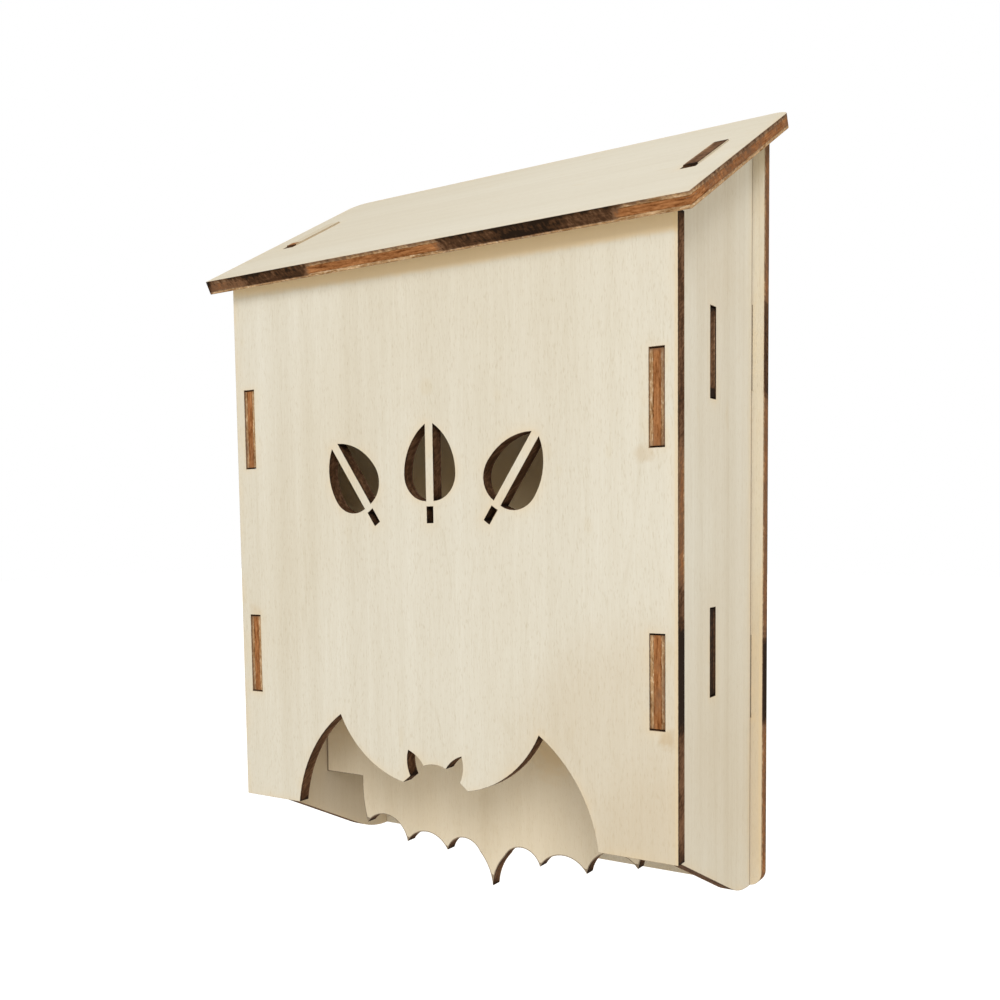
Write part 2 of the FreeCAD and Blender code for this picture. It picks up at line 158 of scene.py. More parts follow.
def read_board(name, outward):
    """The axes, cuts and layers of a board, from its packed mesh. The normal is that of the
    largest triangle that faces outward. Up is +Z laid into the board's plane, and across is
    up times normal. The cuts are the lone edges of the face. A triangle faces outward, or
    lies in the face, where its normal's cosine with that direction is over FACES_OUT or
    SAME_PLANE."""
    points, triangles = welded(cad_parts[name].data)
    a, b, c = (points[triangles[:, i]] for i in range(3))
    doubled = np.cross(b - a, c - a)
    area = np.linalg.norm(doubled, axis=1)
    outwards = doubled @ np.array(outward, float) > FACES_OUT * area
    largest = np.argmax(np.where(outwards, area, 0))
    normal = doubled[largest] / area[largest]
    up = np.array((0, 0, 1.0)) - normal[2] * normal
    up /= np.linalg.norm(up)
    across = np.cross(up, normal)

    face = triangles[doubled @ normal > SAME_PLANE * area]
    starts, ends = lone_edges(face, len(points))
    flat = points @ np.stack((across, up), axis=1)
    depths = points @ normal
    return {
        "axes": np.stack((across, up, normal)),
        "cuts": divided(np.stack((flat[starts], flat[ends]), axis=1)),
        "layers": (depths.min(), depths.max()),
    }


front = read_board("front_panel", (0, -1, 0))
print("the front panel has", len(front["cuts"]), "short cuts")

# %% [markdown]
# The distance from a point to a line segment is found by dropping the point on the
# segment's line, and holding the foot between the two ends. Done for every point and every
# cut at once, this is one large array, and its smallest value along each row is the
# distance to the nearest cut. Whether a point lies on wood is found by counting the cuts
# that a level line from it crosses: an odd count means wood.

# %% Distances to cuts and corners
def cut_distance(points, cuts):
    """Distance from each point to its nearest segment: the length of p - a - t (b - a),
    where t is (p - a).(b - a) / |b - a|^2, held between 0 and 1."""
    start = cuts[None, :, 0]
    run = cuts[None, :, 1] - start
    reach = points[:, None] - start
    along = (reach * run).sum(-1) / (run * run).sum(-1)
    foot = np.clip(along, 0, 1)[..., None] * run
    return np.linalg.norm(reach - foot, axis=-1).min(axis=1)


def joined_ends(cuts):
    """The ends of all cuts, each only once, and for each cut the numbers of its two."""
    ends, index = np.unique(cuts.reshape(-1, 2), axis=0, return_inverse=True)
    return ends, index.reshape(-1, 2)


def corner_distance(points, cuts, turn):
    """Distance from each point to the nearest corner: an end where the direction of the
    cut that arrives and of the cut that leaves differ by more than turn."""
    ends, index = joined_ends(cuts)
    run = cuts[:, 1] - cuts[:, 0]
    run /= np.linalg.norm(run, axis=1)[:, None]
    arriving, leaving = np.zeros((2, len(ends), 2))
    arriving[index[:, 1]] = run
    leaving[index[:, 0]] = run
    corners = ends[(arriving * leaving).sum(axis=1) < math.cos(turn)]
    return np.linalg.norm(points[:, None] - corners[None], axis=-1).min(axis=1)


def on_wood(points, cuts):
    """True where a level line to the right of the point crosses an odd number of cuts. A
    level cut is never crossed, and the 1 for its rise only avoids a division by 0."""
    x, y = points[:, None, 0], points[:, None, 1]
    (x0, y0), (x1, y1) = cuts[:, 0].T, cuts[:, 1].T
    spans = (y0 > y) != (y1 > y)
    crossing = x0 + (y - y0) * (x1 - x0) / np.where(y1 == y0, 1, y1 - y0)
    return (spans & (crossing > x)).sum(axis=1) % 2 == 1


middle = joined_ends(front["cuts"])[0].mean(axis=0)[None]
away = cut_distance(middle, front["cuts"])[0] / MILLIMETRE
print("middle of the front: %.1f mm from a cut, on wood %s"
      % (away, on_wood(middle, front["cuts"])[0]))

# %% [markdown]
# A face is filled with points before it is triangulated. Near a cut the finish changes
# quickly, so two rows of points follow the cuts closely. Everywhere else a square grid is
# fine enough. Only points on wood are kept, and only triangles whose middle is on wood.

# %% Fill a face
GRID_STEP = 1.8 * MILLIMETRE
ROWS = (0.4 * MILLIMETRE, 1.1 * MILLIMETRE)
CLEARANCE = 0.85
ALL_TRIANGLES = 0
MERGE_DISTANCE = 1e-5


def rows_beside(cuts):
    """Rows of points that follow the cuts. From the middle of each cut, go square to it
    into the wood, by each distance in ROWS. A point is dropped where another cut is nearer
    than CLEARANCE times that distance, or where it crowds another point of its row."""
    run = cuts[:, 1] - cuts[:, 0]
    square = np.stack((-run[:, 1], run[:, 0]), axis=1)
    square /= np.linalg.norm(square, axis=1)[:, None]
    found = []
    for distance in ROWS:
        points = cuts.mean(axis=1) + square * distance
        points = points[on_wood(points, cuts)]
        points = points[cut_distance(points, cuts) > CLEARANCE * distance]
        cell = 0.4 * distance + 0.1 * MILLIMETRE
        apart = np.unique((points / cell).round(), axis=0, return_index=True)[1]
        found.append(points[np.sort(apart)])
    return np.concatenate(found)


def fill_face(cuts):
    """Points and triangles of one face: the cuts' ends, rows of points beside them, and a
    grid of points on the wood that keeps clear of both."""
    ends, edges = joined_ends(cuts)
    low, high = ends.min(0), ends.max(0)
    grid = np.stack(np.meshgrid(np.arange(low[0], high[0], GRID_STEP),
                                np.arange(low[1], high[1], GRID_STEP)), -1).reshape(-1, 2)
    grid = grid[on_wood(grid, cuts)]
    grid = grid[cut_distance(grid, cuts) > ROWS[-1] + GRID_STEP / 4]
    points = np.concatenate((ends, rows_beside(cuts), grid)) / MILLIMETRE
    found = delaunay_2d_cdt([Vector(p) for p in points], edges.tolist(), [],
                            ALL_TRIANGLES, MERGE_DISTANCE)
    points = np.array([tuple(p) for p in found[0]]) * MILLIMETRE
    triangles = np.array(found[2])
    return points, triangles[on_wood(points[triangles].mean(axis=1), cuts)]


print("the front's face takes", len(fill_face(front["cuts"])[1]), "triangles")

# %% [markdown]
# The face is turned into a board: one copy of the face at each layer, and a wall between
# them under every cut. Each vertex keeps its distance to the nearest cut and to the nearest
# sharp corner, where the laser slows down, and its depth in the board as a number from -1
# to 1. The UV map holds the place on the board in metres, so a pattern made from it runs
# straight through the thickness, as a laser's marks do. A small bevel takes the sharpness
# off the edges, as sanding does, so that they catch the light.

# %% Draw the boards
EDGE_ROUNDING = 0.1 * MILLIMETRE
SHARP_CORNER = math.radians(40)
OUTWARD = {
    "front_panel": (0, -1, 0),
    "baffle_panel": (0, -1, 0),
    "back_panel": (0, 1, 0),
    "left_side_panel": (-1, 0, 0),
    "right_side_panel": (1, 0, 0),
    "roof_panel": (0, 0, 1),
}


def board_mesh(name, board):
    """A board's mesh: each point of the face is across times its first number plus up times
    its second plus normal times the layer. Its attributes are cut and corner (millimetres
    to the nearest one) and depth (-1 to 1 through it)."""
    flat, face = fill_face(board["cuts"])
    count = len(flat)
    across, up, normal = board["axes"]
    places = [flat @ np.stack((across, up)) + normal * layer for layer in board["layers"]]
    a, b = lone_edges(face, count)
    walls = np.stack((b + count, a + count, a, b), axis=1)
    faces = face[:, ::-1].tolist() + (face + count).tolist() + walls.tolist()
    mesh = bpy.data.meshes.new(name + "_board")
    mesh.from_pydata(np.concatenate(places).tolist(), [], faces)

    cut = cut_distance(flat, board["cuts"]) / MILLIMETRE
    corner = corner_distance(flat, board["cuts"], SHARP_CORNER) / MILLIMETRE
    for word, values in (("cut", np.tile(cut, 2)), ("corner", np.tile(corner, 2)),
                         ("depth", np.repeat((-1.0, 1.0), count))):
        mesh.attributes.new(word, "FLOAT", "POINT").data.foreach_set("value", values)
    corners = np.empty(len(mesh.loops), int)
    mesh.loops.foreach_get("vertex_index", corners)
    layer = mesh.uv_layers.new(name="place_on_board")
    layer.uv.foreach_set("vector", np.tile(flat, (2, 1))[corners].ravel())
    mesh.shade_smooth()
    print("%-18s %6d points, widest wood %.1f mm from a cut" % (name, 2 * count, cut.max()))
    return mesh


def draw_board(name, outward):
    """A board that rides on the body, takes a CAD node's place and has rounded edges."""
    mesh = board_mesh(name, read_board(name, outward))
    piece = bpy.data.objects.new(name + "_board", mesh)
    bpy.context.scene.collection.objects.link(piece)
    rounding = piece.modifiers.new("rounded edges", "BEVEL")
    rounding.width = EDGE_ROUNDING
    rounding.segments = 2
    rounding.limit_method = "ANGLE"
    rounding.angle_limit = SHARP_CORNER
    rounding.harden_normals = True
    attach(piece, "root")
    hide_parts(name)
    return piece


boards = {name: draw_board(name, outward) for name, outward in OUTWARD.items()}

# %% [markdown]
# The finishes are built from nodes. A small helper keeps that readable: it adds a node,
# fills its inputs with numbers or with other nodes' outputs, and hands back its output. So
# a finish can be written, and read, as a sum. Its short methods are for what comes often:
# a smooth step, a product added to a base, or a noise moved to run about 0.

# %% Node helper
class Sheet:
    """A node tree being written."""

    def __init__(self, tree):
        self.tree = tree

    def add(self, kind, **settings):
        """A new node with the given settings."""
        node = self.tree.nodes.new(kind)
        for word, setting in settings.items():
            setattr(node, word, setting)
        return node

    def put(self, socket, value):
        """Links an output into a socket, or writes a number or colour on it."""
        if isinstance(value, bpy.types.NodeSocket):
            self.tree.links.new(value, socket)
        else:
            socket.default_value = value

    def copy_of(self, group, values):
        """The outputs of a copy of a node group, with its inputs filled by name."""
        node = self.add("ShaderNodeGroup", node_tree=group)
        for word, value in values.items():
            self.put(node.inputs[word], value)
        return node.outputs

    def math(self, operation, *values, clamp=False):
        """One Math node."""
        node = self.add("ShaderNodeMath", operation=operation, use_clamp=clamp)
        for socket, value in zip(node.inputs, values):
            self.put(socket, value)
        return node.outputs[0]

    def rest(self, value):
        """What is left of 1: 1 - value."""
        return self.math("SUBTRACT", 1.0, value)

    def plus(self, base, value, factor):
        """base + value factor."""
        return self.math("ADD", base, self.math("MULTIPLY", value, factor))

    def centred(self, value, factor):
        """A value that runs about 0.5 runs about 0 instead: (value - 0.5) factor."""
        return self.math("MULTIPLY", self.math("SUBTRACT", value, 0.5), factor)

    def step(self, value, low, high):
        """A smooth step from 0 at low to 1 at high."""
        node = self.add("ShaderNodeMapRange", interpolation_type="SMOOTHSTEP")
        for word, number in (("Value", value), ("From Min", low), ("From Max", high)):
            self.put(node.inputs[word], number)
        return node.outputs[0]

    def vector(self, operation, *values):
        """One Vector Math node."""
        node = self.add("ShaderNodeVectorMath", operation=operation)
        for socket, value in zip(node.inputs, values):
            self.put(socket, value)
        return node.outputs["Value" if operation == "LENGTH" else "Vector"]

    def combine(self, *values):
        """A vector of three numbers."""
        node = self.add("ShaderNodeCombineXYZ")
        for socket, value in zip(node.inputs, values):
            self.put(socket, value)
        return node.outputs[0]

    def tint(self, brightness, powers):
        """A colour whose red, green and blue are the brightness to three powers, so that
        darker also means warmer."""
        node = self.add("ShaderNodeCombineColor")
        for socket, power in zip(node.inputs, powers):
            self.put(socket, self.math("POWER", brightness, power))
        return node.outputs[0]

    def blend(self, factor, first, second, mode="MIX"):
        """One colour mixed into another."""
        node = self.add("ShaderNodeMix", data_type="RGBA", blend_type=mode)
        for index, value in ((0, factor), (6, first), (7, second)):
            self.put(node.inputs[index], value)
        return node.outputs[2]

    def between(self, factor, first, second):
        """One number mixed into another."""
        node = self.add("ShaderNodeMix", data_type="FLOAT")
        for index, value in ((0, factor), (2, first), (3, second)):
            self.put(node.inputs[index], value)
        return node.outputs[0]

    def noise(self, place, stretch, detail=2.0, roughness=0.5):
        """Noise from 0 to 1. Stretch is the number of its features per millimetre."""
        mapping = self.add("ShaderNodeMapping")
        self.put(mapping.inputs["Vector"], place)
        mapping.inputs["Scale"].default_value = stretch
        node = self.add("ShaderNodeTexNoise", noise_dimensions="3D")
        self.put(node.inputs["Vector"], mapping.outputs[0])
        for word, number in (("Scale", 1.0), ("Detail", detail), ("Roughness", roughness)):
            node.inputs[word].default_value = number
        return node.outputs["Fac"]


def new_group(name, inputs, outputs):
    """An empty node group. Inputs are (name, kind, default) and outputs (name, kind)."""
    tree = bpy.data.node_groups.new(name, "ShaderNodeTree")
    for word, kind, default in inputs:
        socket = tree.interface.new_socket(word, in_out="INPUT",
                                           socket_type="NodeSocket" + kind)
        if default is not None:
            socket.default_value = default
    for word, kind in outputs:
        tree.interface.new_socket(word, in_out="OUTPUT", socket_type="NodeSocket" + kind)
    sheet = Sheet(tree)
    given = sheet.add("NodeGroupInput").outputs
    return sheet, given, sheet.add("NodeGroupOutput").inputs


print("a sheet can", ", ".join(word for word in vars(Sheet) if not word.startswith("_")))

# %% [markdown]
# The faces are basswood veneer. Seen close, it has fine pores that show as short dashes,
# soft fibres, and a few long growth lines that wander across the board. The growth lines
# are the contour lines of a slow noise that is stretched along the grain. All of it is very
# faint: the boards read as almost plain cream from a step away.

# %% Veneer grain
PALE = (0.782, 0.728, 0.602, 1)
WARM = (0.750, 0.684, 0.545, 1)
SPOT = (0.700, 0.590, 0.390, 1)
SPOT_SHARE = 0.25
CONTOURS = 9.0
FIBRE_SHADE = 0.20
PORE_SHADE = 0.095
LINE_SHADE = 0.045
VENEER_WARMING = (0.8, 1.0, 1.35)
FIBRE_HEIGHT = 0.5
PORE_DEPTH = 0.6


def make_grain_group():
    """Colour and height of a veneered face. Place is in millimetres, with the grain along
    its second axis. Strength is that of the fibres, pores and growth lines, and Bands that
    of slow stripes along the grain."""
    sheet, given, out = new_group(
        "veneer grain",
        [("Place", "Vector", None), ("Pale", "Color", PALE), ("Warm", "Color", WARM),
         ("Strength", "Float", 1.0), ("Bands", "Float", 0.3)],
        [("Colour", "Color"), ("Height", "Float")])
    place = given["Place"]
    fibre = sheet.noise(place, (2.3, 0.13, 1), detail=4, roughness=0.7)
    pores = sheet.step(sheet.noise(place, (4.2, 0.8, 1), detail=1), 0.54, 0.74)
    bands = sheet.noise(place, (0.20, 0.003, 1), detail=3, roughness=0.6)
    slow = sheet.noise(place, (0.045, 0.0045, 1), detail=1, roughness=0.3)
    contour = sheet.math("PINGPONG", sheet.math("MULTIPLY", slow, CONTOURS), 0.5)
    broken = sheet.step(sheet.noise(place, (0.5, 0.03, 1)), 0.42, 0.62)
    lines = sheet.math("MULTIPLY", sheet.rest(sheet.step(contour, 0.0, 0.035)), broken)
    drift = sheet.step(sheet.noise(place, (0.022, 0.009, 1), detail=3), 0.35, 0.7)
    spots = sheet.step(sheet.noise(place, (0.16, 0.1, 1), detail=1), 0.70, 0.80)

    colour = sheet.blend(drift, given["Pale"], given["Warm"])
    colour = sheet.blend(sheet.math("MULTIPLY", spots, SPOT_SHARE), colour, SPOT)
    shade = sheet.centred(fibre, FIBRE_SHADE)
    shade = sheet.plus(shade, pores, PORE_SHADE)
    shade = sheet.plus(shade, lines, LINE_SHADE)
    shade = sheet.math("MULTIPLY", shade, given["Strength"])
    wide = sheet.centred(bands, given["Bands"])
    bright = sheet.math("SUBTRACT", sheet.rest(shade), wide)
    tint = sheet.tint(bright, VENEER_WARMING)
    sheet.put(out["Colour"], sheet.blend(1.0, colour, tint, "MULTIPLY"))
    height = sheet.math("MULTIPLY", fibre, FIBRE_HEIGHT)
    sheet.put(out["Height"], sheet.plus(height, pores, -PORE_DEPTH))
    return sheet.tree


grain_group = make_grain_group()
print("veneer grain:", len(grain_group.nodes), "nodes")

# %% [markdown]
# The heat of the laser isn't the same everywhere. It burns more where the beam slows down
# or passes twice, and less where the air jet is strong. A patch is given by its place on
# the board, its reach, how soft its border is, and an amount that is added to the char.
# A negative amount leaves that stretch cleaner. On a face the same patch lays smoke, tan and
# brown lines, and in places painted shade as well. With a narrowing of 0 across it becomes a
# level band, and with one far above 1 an upright strip as thin as the tan along an edge.

# %% Heat patches
BORDER_NOISE = 2.0
FULLY_RAGGED = 4.0


def make_heat_group():
    """Amount times a disc about a place on the board: 1 inside, 0 beyond reach. Distances
    across are first multiplied by Narrow. Noise times Softness times Ragged moves the
    border."""
    sheet, given, out = new_group(
        "heat patch",
        [("Place", "Vector", None), ("Centre", "Vector", None), ("Reach", "Float", 8.0),
         ("Softness", "Float", 2.0), ("Amount", "Float", 0.5), ("Narrow", "Float", 1.0),
         ("Ragged", "Float", 1.0)],
        [("Heat", "Float")])
    away = sheet.vector("SUBTRACT", given["Place"], given["Centre"])
    away = sheet.vector("MULTIPLY", away, sheet.combine(given["Narrow"], 1.0, 1.0))
    border = sheet.noise(given["Place"], (0.45, 0.45, 0), detail=4, roughness=0.6)
    border = sheet.centred(border, given["Softness"])
    border = sheet.math("MULTIPLY", border, given["Ragged"])
    inside = sheet.math("SUBTRACT", given["Reach"], sheet.vector("LENGTH", away))
    inside = sheet.plus(inside, border, BORDER_NOISE)
    disc = sheet.step(sheet.math("DIVIDE", inside, given["Softness"]), -0.5, 0.5)
    sheet.put(out["Heat"], sheet.math("MULTIPLY", disc, given["Amount"]))
    return sheet.tree


def heat(across, up, reach, amount, softness=5.0, narrow=1.0, ragged=None):
    """A heat patch's values, with its place, reach and softness in millimetres. A border
    softer than FULLY_RAGGED is less ragged, by that over its softness."""
    if ragged is None:
        ragged = min(1.0, FULLY_RAGGED / softness)
    return {"Centre": (across, up, 0), "Reach": reach, "Softness": softness,
            "Amount": amount, "Narrow": narrow, "Ragged": ragged}


def add_heat(sheet, place, patches):
    """The heat of all patches, added together."""
    total = 0.0
    for patch in patches:
        warmth = sheet.copy_of(heat_group, {"Place": place, **patch})["Heat"]
        total = sheet.math("ADD", total, warmth)
    return total


heat_group = make_heat_group()
print("heat patch:", len(heat_group.nodes), "nodes")

# %% [markdown]
# A cut edge shows streaks that run along it, and slanted marks that the beam leaves through
# the thickness. Both are noise on the UV place, with the depth in millimetres as the third
# number. Noise that changes quickly with depth and slowly along the edge makes streaks.
# Noise that hardly changes with depth makes marks, and where the place moves along the edge
# as the depth grows, the marks slant.

# %% Patterns of a cut edge
HALF_THICKNESS = 1.5
SLANT = 0.6
WANDER = 0.16


def edge_patterns(sheet, place, depth):
    """The patterns of a cut edge by name, from 0 to 1. Away is the distance from the middle
    of the board over half its thickness, plus WANDER times a noise about 0."""
    def moved(slant):
        """The place on the board, moved along it by slant times the depth."""
        shift = (sheet.math("MULTIPLY", depth, HALF_THICKNESS * share)
                 for share in (slant, slant, 1.0))
        return sheet.vector("ADD", place, sheet.combine(*shift))

    straight, slanted = moved(0.0), moved(SLANT)
    away = sheet.math("ABSOLUTE", depth)
    wander = sheet.noise(straight, (0.5, 0.5, 0.35), detail=3)
    specks = sheet.noise(straight, (1.1, 1.1, 2.5), detail=3)
    dashes = sheet.noise(straight, (0.9, 0.9, 0.5), detail=3)
    marks = sheet.noise(slanted, (1.3, 1.3, 0.1), detail=3, roughness=0.7)
    strokes = sheet.noise(slanted, (1.0, 1.0, 0.25), detail=3)
    return {
        "away": sheet.math("ADD", away, sheet.centred(wander, WANDER)),
        "streaks": sheet.noise(straight, (0.22, 0.22, 2.1), detail=4, roughness=0.65),
        "flecks": sheet.noise(straight, (0.9, 0.9, 3.0), detail=3, roughness=0.7),
        "blotches": sheet.noise(straight, (0.16, 0.16, 0.4), detail=3, roughness=0.6),
        "specks": sheet.step(specks, 0.50, 0.64),
        "dashes": sheet.step(dashes, 0.34, 0.60),
        "marks": sheet.step(marks, 0.36, 0.66),
        "strokes": sheet.step(strokes, 0.36, 0.66),
    }


# %% [markdown]
# The plies are a light veneer on each side, a dark glue line under it that is broken into
# dashes, and an orange-brown core. Streaks and flecks then make all of them lighter and
# darker. The veneer keeps fewer pale specks on the side where the beam came in.

# %% Plies
CORE = (0.360, 0.146, 0.050, 1)
VENEER = (0.47, 0.280, 0.135, 1)
SPECK = (0.64, 0.450, 0.270, 1)
GLUE = (0.165, 0.062, 0.018, 1)
SPECK_SHARE = 0.9
GLUE_PLACE = 0.50
GLUE_STRENGTH = 0.85
STREAK_SHADE = 3.4
FLECK_SHADE = 1.6
DARKEST = 0.3
EDGE_WARMING = (0.8, 1.0, 1.25)


def ply_colour(sheet, patterns, beam_side):
    """The colour of a raw cut edge, whose brightness is 1 + streaks + flecks."""
    pale = sheet.math("MULTIPLY", patterns["specks"],
                      sheet.math("SUBTRACT", SPECK_SHARE, beam_side))
    veneer = sheet.blend(pale, VENEER, SPECK)
    colour = sheet.blend(sheet.step(patterns["away"], 0.48, 0.56), CORE, veneer)
    seam = sheet.math("ABSOLUTE", sheet.math("SUBTRACT", patterns["away"], GLUE_PLACE))
    seam = sheet.rest(sheet.step(seam, 0.02, 0.10))
    seam = sheet.math("MULTIPLY", seam, patterns["dashes"])
    colour = sheet.blend(sheet.math("MULTIPLY", seam, GLUE_STRENGTH), colour, GLUE)
    shade = sheet.centred(patterns["streaks"], STREAK_SHADE)
    shade = sheet.math("ADD", shade, sheet.centred(patterns["flecks"], FLECK_SHADE))
    bright = sheet.math("MAXIMUM", sheet.math("ADD", 1.0, shade), DARKEST)
    return sheet.blend(1.0, colour, sheet.tint(bright, EDGE_WARMING), "MULTIPLY")


# %% [markdown]
# The laser chars an edge most at the rim where the beam came in, and least at the other
# rim. It slows down at sharp corners, and burns more there. Blotches, marks and streaks
# make the char uneven. How burnt a point is comes out as one number, which then picks its
# colour.

# %% Char
BEAM_RIM_CHAR = 0.22
BEAM_SIDE_CHAR = 0.72
RIM_CHAR = 0.20
CORNER_CHAR = 0.7
CORNER_FADE = 1.6
BLOTCH_CHAR = 0.80
MARK_CHAR = 0.26
STREAK_CHAR = 0.60
STROKE_CHAR = 0.65
STROKE_LEVEL = 0.3


def burn_amount(sheet, given, patterns, beam_side):
    """Char, plus more at the beam's rim, brought up towards BEAM_SIDE_CHAR on the beam's
    side, less at the rim where the beam left, plus rims, corners and patterns. A corner
    adds CORNER_CHAR times e to the power of -CORNER_FADE times the distance to it."""
    depth, char = given["Depth"], given["Char"]
    burn = sheet.plus(char, sheet.step(depth, 0.45, 0.95), BEAM_RIM_CHAR)
    raw = sheet.math("MAXIMUM", sheet.math("SUBTRACT", BEAM_SIDE_CHAR, burn), 0.0)
    burn = sheet.plus(burn, beam_side, raw)
    left = sheet.math("MULTIPLY", sheet.step(depth, -0.60, -0.78), given["Clean"])
    burn = sheet.math("MULTIPLY", burn, sheet.rest(left))
    burn = sheet.plus(burn, sheet.step(patterns["away"], 0.92, 1.0), RIM_CHAR)

    charred = sheet.step(char, 0.0, 0.4)
    near = sheet.math("EXPONENT", sheet.math("MULTIPLY", given["Corner"], -CORNER_FADE))
    burn = sheet.plus(burn, sheet.math("MULTIPLY", near, charred), CORNER_CHAR)
    mark_char = sheet.math("MULTIPLY", charred, MARK_CHAR)
    for word, amount in (("blotches", BLOTCH_CHAR), ("marks", mark_char),
                         ("streaks", STREAK_CHAR)):
        burn = sheet.math("ADD", burn, sheet.centred(patterns[word], amount))
    run_in = sheet.math("MULTIPLY", sheet.step(depth, -0.7, 0.8), given["Strokes"])
    strokes = sheet.math("SUBTRACT", patterns["strokes"], STROKE_LEVEL)
    return sheet.plus(burn, sheet.math("MULTIPLY", strokes, run_in), STROKE_CHAR)


# %% [markdown]
# The group for a cut edge lays the colours of char over the plies: brown, then chocolate,
# then black. The plies still show through the brown, darkened. A stretch that is sanded
# bare has none of these colours.

# %% Cut edges
BARE = (0.70, 0.62, 0.47, 1)
BROWN = (0.230, 0.128, 0.070, 1)
DARKENED = (0.42, 0.40, 0.42, 1)
PLIES_THROUGH_BROWN = 0.40
CHOCOLATE = (0.078, 0.036, 0.016, 1)
BLACK = (0.020, 0.011, 0.006, 1)
MARK_HEIGHT = 0.5
STREAK_HEIGHT = 1.5


def make_edge_group():
    """Colour and height of a cut edge. Depth is -1 to 1 through the board, and Char is how
    burnt it is: below -0.9 is sanded bare, 0 is raw, 0.5 brown, 0.8 chocolate and 1.2
    black. Clean is the share of its char that the rim where the beam left goes without.
    Strokes is how dark the slanted marks are that run in from the other rim, and how brown
    that rim is at least."""
    sheet, given, out = new_group(
        "cut edge",
        [("Place", "Vector", None), ("Depth", "Float", 0.0), ("Corner", "Float", 9.0),
         ("Char", "Float", 0.5), ("Clean", "Float", 0.3), ("Strokes", "Float", 0.0)],
        [("Colour", "Color"), ("Height", "Float")])
    patterns = edge_patterns(sheet, given["Place"], given["Depth"])
    beam_side = sheet.step(given["Depth"], 0.25, 0.85)
    beam_side = sheet.math("MULTIPLY", beam_side, given["Strokes"])
    burn = burn_amount(sheet, given, patterns, beam_side)
    colour = ply_colour(sheet, patterns, beam_side)
    colour = sheet.blend(sheet.step(burn, -0.90, -0.40), BARE, colour)
    darkened = sheet.blend(1.0, colour, DARKENED, "MULTIPLY")
    brown = sheet.blend(PLIES_THROUGH_BROWN, BROWN, darkened)
    for low, high, burnt in ((0.02, 0.50, brown), (0.45, 0.85, CHOCOLATE),
                             (0.80, 1.20, BLACK)):
        colour = sheet.blend(sheet.step(burn, low, high), colour, burnt)
    sheet.put(out["Colour"], colour)
    height = sheet.math("MULTIPLY", patterns["marks"], MARK_HEIGHT)
    sheet.put(out["Height"], sheet.plus(height, patterns["streaks"], STREAK_HEIGHT))
    return sheet.tree


edge_group = make_edge_group()
print("cut edge:", len(edge_group.nodes), "nodes")

# %% [markdown]
# Each board is cut from its own stretch of veneer, with its own grain direction. The noise
# of the grain is three-dimensional, so another level of it is another stretch, and the two
# faces of a board lie one level to each side of the board's own.

# %% Own stretch of veneer
SEED_STEP = 7.3


def own_grain(sheet, place, depth, seed, grain_across, values):
    """The grain group's outputs, at the level seed times SEED_STEP plus the sign of depth.
    Values has the group's colours and strengths by name."""
    turned = sheet.add("ShaderNodeMapping")
    sheet.put(turned.inputs["Vector"], place)
    turned.inputs["Rotation"].default_value = (0, 0, math.radians(90 if grain_across else 0))
    level = sheet.math("ADD", seed * SEED_STEP, sheet.math("SIGN", depth))
    own = sheet.vector("ADD", turned.outputs[0], sheet.combine(0.0, 0.0, level))
    return sheet.copy_of(grain_group, {"Place": own, **values})


# %% [markdown]
# Close to a cut the face is tanned: a faint peach halo about a millimetre wide, and a brown
# line right at the rim. Smoke patches lay a wider tan over the face. The same colours also
# paint shade: warm shade under the roof and inside the box, dark shade in narrow seams and
# gaps, and a darker, warmer tone over the whole face that looks into the box.

# %% Tan and painted shade on a face
# These colours are real tan, and also painted shade: the peach paints warm shade under the
# roof and inside the box, the rim brown paints the shade in seams and gaps, and the smoke tan
# paints shade inside the box and on the sides.
PEACH_HALO_AND_WARM_SHADE = (0.81, 0.630, 0.385, 1)
RIM_AND_GAP_SHADE = (0.13, 0.070, 0.035, 1)
SMOKE_TAN_AND_SHADE = (0.575, 0.415, 0.225, 1)
HALO_FADE = 0.95
HALO_STRENGTH = 0.5
RIM_RAGGED = 0.16
RIM_SOFTNESS = 0.12
RIM_STRENGTH = 0.7


def tan_and_painted_shade(sheet, colour, place, depth, cut, rim, inside, smoke_and_painted_shade, peach_and_painted_shade, scorch_and_gap_shade):
    """Smoke and painted shade, halo and painted warm shade, and rim lines with the painted
    shade of gaps, over a face's colour. The halo fades as e to the power of -HALO_FADE times
    the distance to the cut, and the rim is a step down at its width."""
    # Painted shade: the face that looks into the box takes the share inside of the smoke
    # colour, for the dim warm light inside the box. Smoke patches add smoke stains and, in
    # places, more painted shade.
    painted_inside_shade = sheet.math("MULTIPLY", sheet.math("LESS_THAN", depth, 0.0), inside)
    tan_and_shade_share = sheet.math("ADD", painted_inside_shade, add_heat(sheet, place, smoke_and_painted_shade), clamp=True)
    colour = sheet.blend(tan_and_shade_share, colour, SMOKE_TAN_AND_SHADE)

    fade = sheet.math("EXPONENT", sheet.math("MULTIPLY", cut, -HALO_FADE))
    patchy = sheet.noise(place, (0.14, 0.14, 0), detail=3)
    fade = sheet.math("MULTIPLY", fade, sheet.step(patchy, 0.25, 0.70))
    fade = sheet.math("MULTIPLY", fade, HALO_STRENGTH)
    # Peach patches: real tan along some edges, and painted warm shade under the roof and
    # inside the box.
    fade = sheet.math("MAXIMUM", fade, add_heat(sheet, place, peach_and_painted_shade))
    colour = sheet.blend(fade, colour, PEACH_HALO_AND_WARM_SHADE)

    ragged = sheet.plus(cut, sheet.noise(place, (1.6, 1.6, 0)), RIM_RAGGED)
    line = sheet.rest(sheet.step(ragged, rim, rim + RIM_SOFTNESS))
    line = sheet.math("MULTIPLY", line, RIM_STRENGTH)
    # Brown-line patches: burnt rims, and painted shade in seams and gaps.
    line = sheet.math("MAXIMUM", line, add_heat(sheet, place, scorch_and_gap_shade))
    return sheet.blend(line, colour, RIM_AND_GAP_SHADE)


